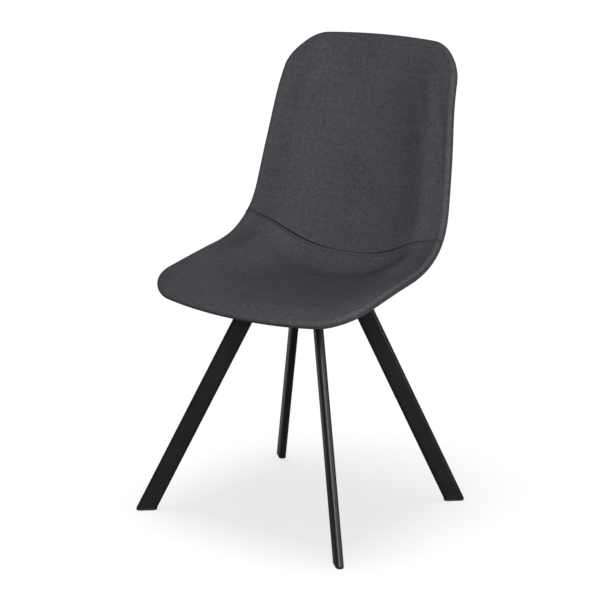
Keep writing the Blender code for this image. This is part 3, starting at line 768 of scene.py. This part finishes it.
def add_pad(name, rows, rings, closed, profile, finish, slot, nodes, seed):
    """A padded piece: a fine outer face that has swollen, closed at the plywood behind it."""
    grid = Grid(rows, rings, closed)
    u, v, angle = grid.u, grid.v, grid.angle
    side = np.sign(angle[0])
    s = from_seam(v, profile)
    edge_place = fabric_place(u, v, angle)
    x, l = edge_place[:, 0], edge_place[:, 1]
    radius = EDGE + grid.turned_in
    sunk = sink(u, v) * (grid.ring == 0) if closed else 0.0
    trim = 0.0
    if not closed:
        trim = np.where(s == 0, -SEAM_GAP if profile is seat_profile else SEAM_GAP, 0.0)
        radius = radius + fullness(profile, u, v, angle) + PULL_DEPTH * pulls(x, s, seed)
    ease = 1 - np.exp(-s / EVEN_SEAM) if not closed else 1.0
    radius = radius + UNEVENNESS * uneven(x, l, seed) * ease * np.exp(-grid.ring / EVEN_RINGS)
    faces = grid.faces if side > 0 else [face[::-1] for face in grid.faces]
    outer = on_edge(u, v, angle, radius, trim, side * sunk if closed else 0.0)
    near_edge = np.clip(grid.ring / HELD_RINGS, 0, 1)
    near_seam = np.exp(-(s / HELD_SEAM) ** 4) if not closed else 0.0
    held = np.maximum(near_edge, near_seam)
    outer = swell(name + "_cloth", outer, faces, held, PUFF_CAP)
    inner_radius = np.full_like(u, PLYWOOD_FACE)
    depth = sink(u, v) * (grid.ring == 0)
    inner = on_edge(u, v, angle, inner_radius, trim, depth)
    count = len(u)
    both = list(faces) + [tuple(i + count for i in face[::-1]) for face in faces]
    both += [(b, a, a + count, b + count) for a, b in rim_of(faces)]
    # Painted highlight by the seam's ridge, painted shade in the seam, groove and turned-in
    # edges.
    painted_light = painted_light_at(s, grid.turned_in, profile)
    piece = add_piece(name, np.concatenate([outer, inner]), both, finish, slot, nodes, sharp=60,
                      cloth=np.concatenate([edge_place, edge_place]),
                      painted_light=np.concatenate([painted_light, painted_light]))


add_pad("seat_pad", SEAT_ROWS, FRONT_RINGS, False, seat_profile, COVER_FABRIC, "cover_fabric",
        ("seat_cover", "seat_foam"), 3.0)
add_pad("back_pad", BACK_ROWS, FRONT_RINGS, False, back_profile, COVER_FABRIC, "cover_fabric",
        ("back_cover", "back_foam"), 31.0)
add_pad("outer_panel", OUTER_ROWS, REAR_RINGS, True, None, OUTER_FABRIC, "outer_fabric",
        ("outer_cover", "rear_foam"), 57.0)


# ---- stitches beside the seam ----------------------------------------------------------
STITCH_PITCH = 0.0041
STITCH_LONG = 0.0033
THREAD_RADIUS = 0.00033
STITCH_EDGE = -6                # degrees round the edge, where the row begins and ends
EDGE_SAMPLES = 60
ACROSS_SAMPLES = 900
SMALL_STEP = 0.001
THREAD_POINTS = 9
THREAD_SIDES = 8
THREAD_TAPER = 0.45             # of its radius, lost at a stitch's ends
THREAD_RISE = 0.75              # radii by which a stitch stands over the groove
THREAD_PLUNGE = 1.9             # radii by which its ends go down again


def stitch_path():
    """Points along the stitched groove and its normals, from edge seam to edge seam."""
    turn = np.radians(np.linspace(STITCH_EDGE, 90, EDGE_SAMPLES))
    across = np.linspace(-1, 1, ACROSS_SAMPLES)[1:-1]
    angle = np.concatenate([turn, np.full(len(across), pi / 2), turn[::-1]])
    u = np.concatenate([np.full(len(turn), -1.0), across, np.full(len(turn), 1.0)])
    v = np.full(len(u), 1 - STITCH_LINE / SEAT_SPAN)
    radius = EDGE + fullness(seat_profile, u, v, angle)
    points = on_edge(u, v, angle, radius)
    above = on_edge(u, v, angle, radius + SMALL_STEP)
    return points, (above - points) / SMALL_STEP


def stitches():
    points, normals = stitch_path()
    run = np.concatenate([[0], np.cumsum(np.linalg.norm(np.diff(points, axis=0), axis=1))])
    spread = np.linspace(-1, 1, THREAD_POINTS)
    shapes = []
    place = STITCH_PITCH
    while place < run[-1] - STITCH_PITCH:
        loops = []
        for t in spread:
            at = place + t * STITCH_LONG / 2
            centre, up, ahead = (
                np.array([np.interp(at + shift, run, source[:, i]) for i in range(3)])
                for source, shift in ((points, 0.0), (normals, 0.0), (points, 0.0002)))
            along = ahead - centre
            along /= np.linalg.norm(along)
            side = np.cross(along, up)
            thick = THREAD_RADIUS * (1 - THREAD_TAPER * t ** 6)
            centre = centre + up * (THREAD_RADIUS * (THREAD_RISE - THREAD_PLUNGE * t ** 4))
            loops.append([centre + thick * (side * cos(a) + up * sin(a))
                          for a in (2 * pi * i / THREAD_SIDES for i in range(THREAD_SIDES))])
        shapes.append(lofted(loops))
        place += STITCH_PITCH
    return joined(shapes)


add_piece("seam_stitches", *stitches(), THREAD, "cover_fabric")

# ---- tube frame ------------------------------------------------------------------------
UP = Vector((0, 0, 1))
ARC_STEPS = 14
BURR = 0.0003                   # filed off the ends of a tube
GLIDE_ROUND = 0.0012            # radius of a glide's edge on the floor
GLIDE_CHAMFER = 0.0004
PLUG_LEAD = 0.001


def oval(shrink):
    """Flat-oval section, drawn in by shrink: (along the wide axis, along the thin axis)."""
    radius = TUBE_THICKNESS / 2 - shrink
    reach = (TUBE_WIDTH - TUBE_THICKNESS) / 2
    points = []
    for end in (1, -1):
        for i in range(ARC_STEPS + 1):
            angle = -pi / 2 + pi * i / ARC_STEPS
            points.append((end * (reach + radius * cos(angle)), end * radius * sin(angle)))
    return points


def oval_loop(centre, axis, wide, cut, shrink, back=0.0):
    """The section slid along the tube's axis onto a cutting plane, or short of it by back."""
    plane_point, plane_normal = cut
    thin = axis.cross(wide)
    loop = []
    for a, b in oval(shrink):
        point = centre + wide * a + thin * b
        slide = (plane_point - point).dot(plane_normal) / axis.dot(plane_normal)
        loop.append(point + axis * (slide + back))
    return loop


def add_tube(name, start, end, wide, start_cut, end_cut):
    """Hollow flat-oval tube between two cutting planes, its ends deburred."""
    axis = (end - start).normalized()

    def loop(cut, shrink, back):
        return oval_loop(start, axis, wide, cut, shrink, back)

    loops = [loop(start_cut, BURR, 0.0), loop(start_cut, 0.0, BURR), loop(end_cut, 0.0, -BURR),
             loop(end_cut, BURR, 0.0), loop(end_cut, TUBE_WALL, 0.0),
             loop(start_cut, TUBE_WALL, 0.0)]
    add_piece(name, *lofted(loops, ring=True), BLACK_STEEL, "black_steel", (name,))


WELD_RADIUS = 0.0017
WELD_RIPPLE = 0.0019
WELD_STEP = 0.0007
WELD_FLATNESS = 0.7
WELD_SCALLOP = 0.16             # of the bead's radius, by which it thins between scallops
WELD_UNEVEN = 0.07
WELD_GRAIN = 400
WELD_SIDES = 10


def bead(loop):
    """A weld bead along a closed line: overlapping scallops, a little flattened."""
    line = [Vector(p) for p in loop]
    closed = line + [line[0]]
    run = [0.0]
    for a, b in zip(closed, closed[1:]):
        run.append(run[-1] + (b - a).length)
    count = round(run[-1] / WELD_STEP)
    centre = sum(line, Vector()) / len(line)
    loops = []
    for k in range(count):
        at = run[-1] * k / count
        i = max(j for j in range(len(line)) if run[j] <= at)
        a, b = closed[i], closed[i + 1]
        point = a.lerp(b, (at - run[i]) / max(run[i + 1] - run[i], TINY))
        along = (b - a).normalized()
        out = point - centre
        out = (out - along * out.dot(along)).normalized()
        side = along.cross(out)
        phase = at / WELD_RIPPLE % 1.0
        thick = WELD_RADIUS * (1 - WELD_SCALLOP + WELD_SCALLOP * sin(pi * phase)
                               + WELD_UNEVEN * noise.noise(point * WELD_GRAIN))
        loops.append([point + (out * cos(t) * WELD_FLATNESS + side * sin(t)) * thick
                      for t in (2 * pi * n / WELD_SIDES for n in range(WELD_SIDES))])
    return lofted(loops, ring=True)


corners = {}
welds = []
for end_name, sign_y in (("front", -1), ("back", 1)):
    for side_name, sign_x in (("left", 1), ("right", -1)):
        out = Vector((sign_x * cos(DIAGONAL), sign_y * sin(DIAGONAL), 0))
        foot = CROSSING + out * FOOT_RADII[end_name]
        reach = FOOT_RADII[end_name] - CROSS_Z * tan(SPLAYS[end_name])
        corner = CROSSING + out * reach + UP * CROSS_Z
        down = (foot - corner).normalized()
        mitre = (-out - down).normalized()
        place = f"{end_name}_{side_name}"
        corners[place] = (corner, out, mitre)
        wide = (out - down * out.dot(down)).normalized()
        add_tube(f"leg_{place}", foot, corner, wide, (UP * (GLIDE_PLATE + GAP), UP),
                 (corner + down * GAP, mitre))
        welds.append(bead(oval_loop(foot, -down, wide, (corner + down * GAP / 2, mitre), 0.0)))

        def level_loop(height, drop, shrink):
            """The leg's section at the top of the glide's plate, or lower by drop."""
            section = oval_loop(foot, -down, wide, (UP * height, UP), shrink)
            return [point - UP * drop for point in section]

        plug = TUBE_WALL + GAP
        sole = [level_loop(GLIDE_PLATE, GLIDE_PLATE - GLIDE_ROUND * (1 - cos(a)),
                           GLIDE_ROUND * (1 - sin(a)))
                for a in (pi / 2 * i / 5 for i in range(6))]
        glide = sole + [level_loop(GLIDE_PLATE, GLIDE_CHAMFER, 0.0),
                        level_loop(GLIDE_PLATE, 0.0, GLIDE_CHAMFER),
                        level_loop(GLIDE_PLATE, 0.0, plug),
                        level_loop(GLIDE_PLATE + GLIDE_PLUG - PLUG_LEAD, 0.0, plug),
                        level_loop(GLIDE_PLATE + GLIDE_PLUG, 0.0, plug + PLUG_LEAD)]
        add_piece(f"glide_{place}", *lofted(glide), BLACK_PLASTIC, "black_plastic",
                  (f"glide_{place}",))

start, start_out, start_mitre = corners["front_left"]
end, _, end_mitre = corners["back_right"]
add_tube("cross_tube", start, end, UP, (start, start_mitre), (end, end_mitre))
through_side = Vector((-start_out.y, start_out.x, 0))
for place in ("front_right", "back_left"):
    corner, out, mitre = corners[place]
    side = copysign(1, through_side.dot(out))
    butt = CROSSING + through_side * side * (TUBE_THICKNESS / 2 + GAP)
    inner = CROSSING + UP * CROSS_Z
    name = f"half_tube_{place}"
    add_tube(name, corner, inner, UP, (corner, mitre), (butt, through_side))
    inward = (inner - corner).normalized()
    welds.append(bead(oval_loop(corner, inward, UP, (butt, through_side), 0.0)))

add_piece("weld_beads", *joined(welds), BLACK_STEEL, "black_steel")


# ---- mounting bars and bolts -----------------------------------------------------------
BAR_CORNER = 0.004
BAR_SOFT = 0.0005
BAR_RAYS = 72
HEAD_SIDE = 0.0006              # height of the straight side of a bolt's head
CROWN_SHARE = 0.62              # of the head's radius, taken up by its rounded crown
CROWN_ANGLES = (0.25, 0.5, 0.8, 1.1, 1.4)
SOCKET_RADIUS = 0.0021
SOCKET_DEPTH = 0.0021
SOCKET_MOUTH = 0.0004           # by how much the socket is wider at its mouth
SOCKET_BEVEL = 0.0002
HEAD_BEVEL = 0.0002
ROOT_RELIEF = 0.0004            # plain length just under the head
BOLT_POINT = 0.72               # of the bolt's radius, at its tip
BOLT_SHANK = 0.0012             # how near the head the thread may start its last turn
THREAD_STEP = 0.0005
THREAD_DEPTH = 0.0003
BOLT_SIDES = 48


def ray_to_outline(angle):
    """From a bolt hole to the edge of its half of the bar, in the bar's plane."""
    dx, dy = cos(angle), sin(angle)
    end = BAR_HALF_LENGTH - BOLT_X
    half = BAR_WIDTH / 2
    reach = min(end / dx if dx > TINY else 1.0, BOLT_X / -dx if dx < -TINY else 1.0,
                half / abs(dy) if abs(dy) > TINY else 1.0)
    x, y = reach * dx, reach * dy
    cx, cy = end - BAR_CORNER, half - BAR_CORNER
    if x > cx and abs(y) > cy:
        along = dx * cx + abs(dy) * cy
        reach = along + sqrt(BAR_CORNER ** 2 - (cx ** 2 + cy ** 2 - along ** 2))
    return reach


def half_bar(sign, middle_y):
    """One half of a mounting bar, with its bolt hole: rings from the hole to the edge."""
    edge_angle = np.arctan2(BAR_WIDTH / 2, -BOLT_X)
    even_angles = [2 * pi * i / BAR_RAYS - pi for i in range(BAR_RAYS)]
    angles = sorted(even_angles + [edge_angle, -edge_angle])
    low, high = BAR_BOTTOM + BAR_SOFT, BAR_TOP - BAR_SOFT
    rings = [("hole", 0.0, low), ("hole", BAR_SOFT, BAR_BOTTOM), ("rim", BAR_SOFT, BAR_BOTTOM),
             ("rim", 0.0, low), ("rim", 0.0, high), ("rim", BAR_SOFT, BAR_TOP),
             ("hole", BAR_SOFT, BAR_TOP), ("hole", 0.0, high)]
    points = []
    middle = []
    for kind, shift, z in rings:
        for angle in angles:
            full = ray_to_outline(angle)
            reach = HOLE_RADIUS + shift if kind == "hole" else full
            x, y = reach * cos(angle), reach * sin(angle)
            inner_end = kind == "rim" and full * cos(angle) < -BOLT_X + 1e-6
            if kind == "rim" and shift:
                y = min(max(y, -BAR_WIDTH / 2 + shift), BAR_WIDTH / 2 - shift)
                if not inner_end:
                    x = min(x, BAR_HALF_LENGTH - BOLT_X - shift)
            points.append(Vector((sign * (BOLT_X + x), middle_y + y, z)))
            middle.append(inner_end)
    count = len(angles)
    faces = []
    for k in range(len(rings)):
        for i in range(count):
            j = (i + 1) % count
            m = (k + 1) % len(rings)
            corners_of = (k * count + i, k * count + j, m * count + j, m * count + i)
            if not all(middle[c] for c in corners_of):
                faces.append(corners_of)
    return points, faces


def welded_points(points, faces):
    """The same faces with points that coincide made one."""
    keys = {}
    index = [keys.setdefault(tuple(round(c, 6) for c in p), len(keys)) for p in points]
    merged = [Vector(key) for key in keys]
    kept = []
    for face in faces:
        ids = [index[i] for i in face]
        ids = [a for n, a in enumerate(ids) if a != ids[n - 1]]
        if len(ids) > 2:
            kept.append(ids)
    return merged, kept


def hexagon(radius, angle):
    turn = angle % (pi / 3) - pi / 6
    return radius * cos(pi / 6) / cos(turn)


def bolt(centre, top, tip):
    """A button-head screw, head down, with a hexagon socket in its head."""
    steps = [2 * pi * i / BOLT_SIDES for i in range(BOLT_SIDES)]

    def circle(radius, z):
        return [centre + Vector((radius * cos(a), radius * sin(a), z)) for a in steps]

    def hex_loop(radius, z):
        return [centre + Vector((hexagon(radius, a) * cos(a), hexagon(radius, a) * sin(a), z))
                for a in steps]

    loops = [circle(BOLT_RADIUS * BOLT_POINT, tip)]
    z = tip
    while z > top + BOLT_SHANK:
        loops.append(circle(BOLT_RADIUS, z - THREAD_STEP * 0.5))
        loops.append(circle(BOLT_RADIUS - THREAD_DEPTH, z - THREAD_STEP))
        z -= 2 * THREAD_STEP
    loops.append(circle(BOLT_RADIUS, top + ROOT_RELIEF))
    loops.append(circle(BOLT_RADIUS, top))
    loops.append(circle(BOLT_HEAD_RADIUS - HEAD_BEVEL, top))
    loops.append(circle(BOLT_HEAD_RADIUS, top - HEAD_SIDE))
    for t in CROWN_ANGLES:
        radius = BOLT_HEAD_RADIUS * (cos(t) * CROWN_SHARE + 1 - CROWN_SHARE)
        loops.append(circle(radius, top - HEAD_SIDE - (BOLT_HEAD_HEIGHT - HEAD_SIDE) * sin(t)))
    face = top - BOLT_HEAD_HEIGHT
    loops.append(circle(SOCKET_RADIUS + SOCKET_MOUTH, face))
    loops.append(hex_loop(SOCKET_RADIUS, face + SOCKET_BEVEL))
    loops.append(hex_loop(SOCKET_RADIUS, face + SOCKET_DEPTH))
    return lofted(loops)


for end_name, sign in (("front", -1), ("rear", 1)):
    bar_y = FRAME_Y + SHIFT_Y + sign * BAR_OFFSET
    halves = joined([half_bar(1, bar_y), half_bar(-1, bar_y)])
    add_piece(f"{end_name}_mounting_bar", *welded_points(*halves), BLACK_STEEL, "black_steel",
              (f"{end_name}_mounting_bar",), sharp=50)
    for side_name, x in (("left", BOLT_X), ("right", -BOLT_X)):
        place = f"{end_name}_{side_name}"
        bolt_low, bolt_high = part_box(f"bolt_{place}")
        head_top = bolt_low.z + BOLT_HEAD_HEIGHT
        add_piece(f"bolt_{place}", *bolt(Vector((x, bar_y, 0)), head_top, bolt_high.z), ZINC,
                  "zinc_steel", (f"bolt_{place}",), sharp=35)

# ---- CAD nodes that stay ---------------------------------------------------------------
KEPT = {"shell_plywood": PLYWOOD, "tee_nut_": ZINC, "washer_": ZINC, "spacer_": BLACK_PLASTIC}
for name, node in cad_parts.items():
    for start_of_name, finish in KEPT.items():
        if name.startswith(start_of_name):
            for slot in node.material_slots:
                slot.material = finish

# ---- floor, light, camera --------------------------------------------------------------
FLOOR_SIZE = 60
GLOW_NEAR = 0.70                # the floor's own light near the chair and far from it
GLOW_FAR = 0.89
bpy.ops.mesh.primitive_plane_add(size=FLOOR_SIZE)
floor = bpy.context.object
floor.name = "floor"
pale = Finish("pale_floor", 0.85, Specular_IOR_Level=0.0)
pale.shader.inputs["Emission Color"].default_value = (1, 1, 1, 1)
speckle = pale.noise(pale.coordinates(), 8.0)
distance = pale.node("ShaderNodeVectorMath", {0: pale.coordinates()}, operation='LENGTH')
lit = pale.node("ShaderNodeMapRange", {"Value": distance.outputs["Value"], "From Min": -0.5,
                                       "From Max": 5.0, "To Min": GLOW_NEAR,
                                       "To Max": GLOW_FAR},
                interpolation_type='SMOOTHSTEP')
pale.put(pale.shader.inputs["Emission Strength"], lit.outputs["Result"])
pale.colour(pale.mix(pale.weighted(0.5, (speckle, 0.3)), (0.54, 0.54, 0.54, 1),
                     (0.56, 0.56, 0.56, 1)))
floor.data.materials.append(pale.made)
floor_only = bpy.data.collections.new("floor_only")
floor_only.objects.link(floor)
all_but_floor = bpy.data.collections.new("all_but_floor")
all_but_floor.objects.link(floor)
all_but_floor.collection_objects[0].light_linking.link_state = 'EXCLUDE'
floor.light_linking.receiver_collection = floor_only

world = bpy.data.worlds.new("studio")
bpy.context.scene.world = world
world.use_nodes = True
surround = world.node_tree.nodes["Background"]
surround.inputs["Color"].default_value = (1, 1, 1, 1)
surround.inputs["Strength"].default_value = 0.25

LAMP_AIM = Vector((0, 0, 0.5))


def look(thing, aim, azimuth, elevation, distance):
    """Place a lamp or the camera at that azimuth and elevation, looking back at aim."""
    a, e = radians(azimuth), radians(elevation)
    back = Vector((sin(a) * cos(e), -cos(a) * cos(e), sin(e)))
    thing.location = aim + back * distance
    thing.rotation_mode = 'QUATERNION'
    thing.rotation_quaternion = (-back).to_track_quat('-Z', 'Y')
    bpy.context.scene.collection.objects.link(thing)


def softbox(name, azimuth, elevation, distance, size, watts, lights_up):
    """An area light that lights only what lights_up lists, or all but what it excludes."""
    data = bpy.data.lights.new(name, 'AREA')
    data.shape = 'RECTANGLE'
    data.size, data.size_y = size
    data.energy = watts
    lamp = bpy.data.objects.new(name, data)
    lamp.light_linking.receiver_collection = lights_up
    look(lamp, LAMP_AIM, azimuth, elevation, distance)


softbox("key", 38, 24, 2.3, (1.4, 1.4), 64, all_but_floor)
softbox("side", 95, 16, 3.2, (1.8, 1.8), 42, all_but_floor)
softbox("rear", 212, 7, 3.2, (1.8, 1.8), 48, all_but_floor)
softbox("overhead", 0, 89, 3.0, (1.3, 1.3), 46, floor_only)

CAMERA_AZIMUTH = 37.36
CAMERA_ELEVATION = 14.69
CAMERA_DISTANCE = 3.5667
CAMERA_AIM = Vector((-0.0019, -0.0117 + SHIFT_Y, 0.4138))
CAMERA_LENS = 113.86
camera_data = bpy.data.cameras.new("camera")
camera_data.sensor_width = 36
camera_data.lens = CAMERA_LENS
camera = bpy.data.objects.new("camera", camera_data)
look(camera, CAMERA_AIM, CAMERA_AZIMUTH, CAMERA_ELEVATION, CAMERA_DISTANCE)
bpy.context.scene.camera = camera
bpy.context.scene.view_settings.view_transform = 'Standard'
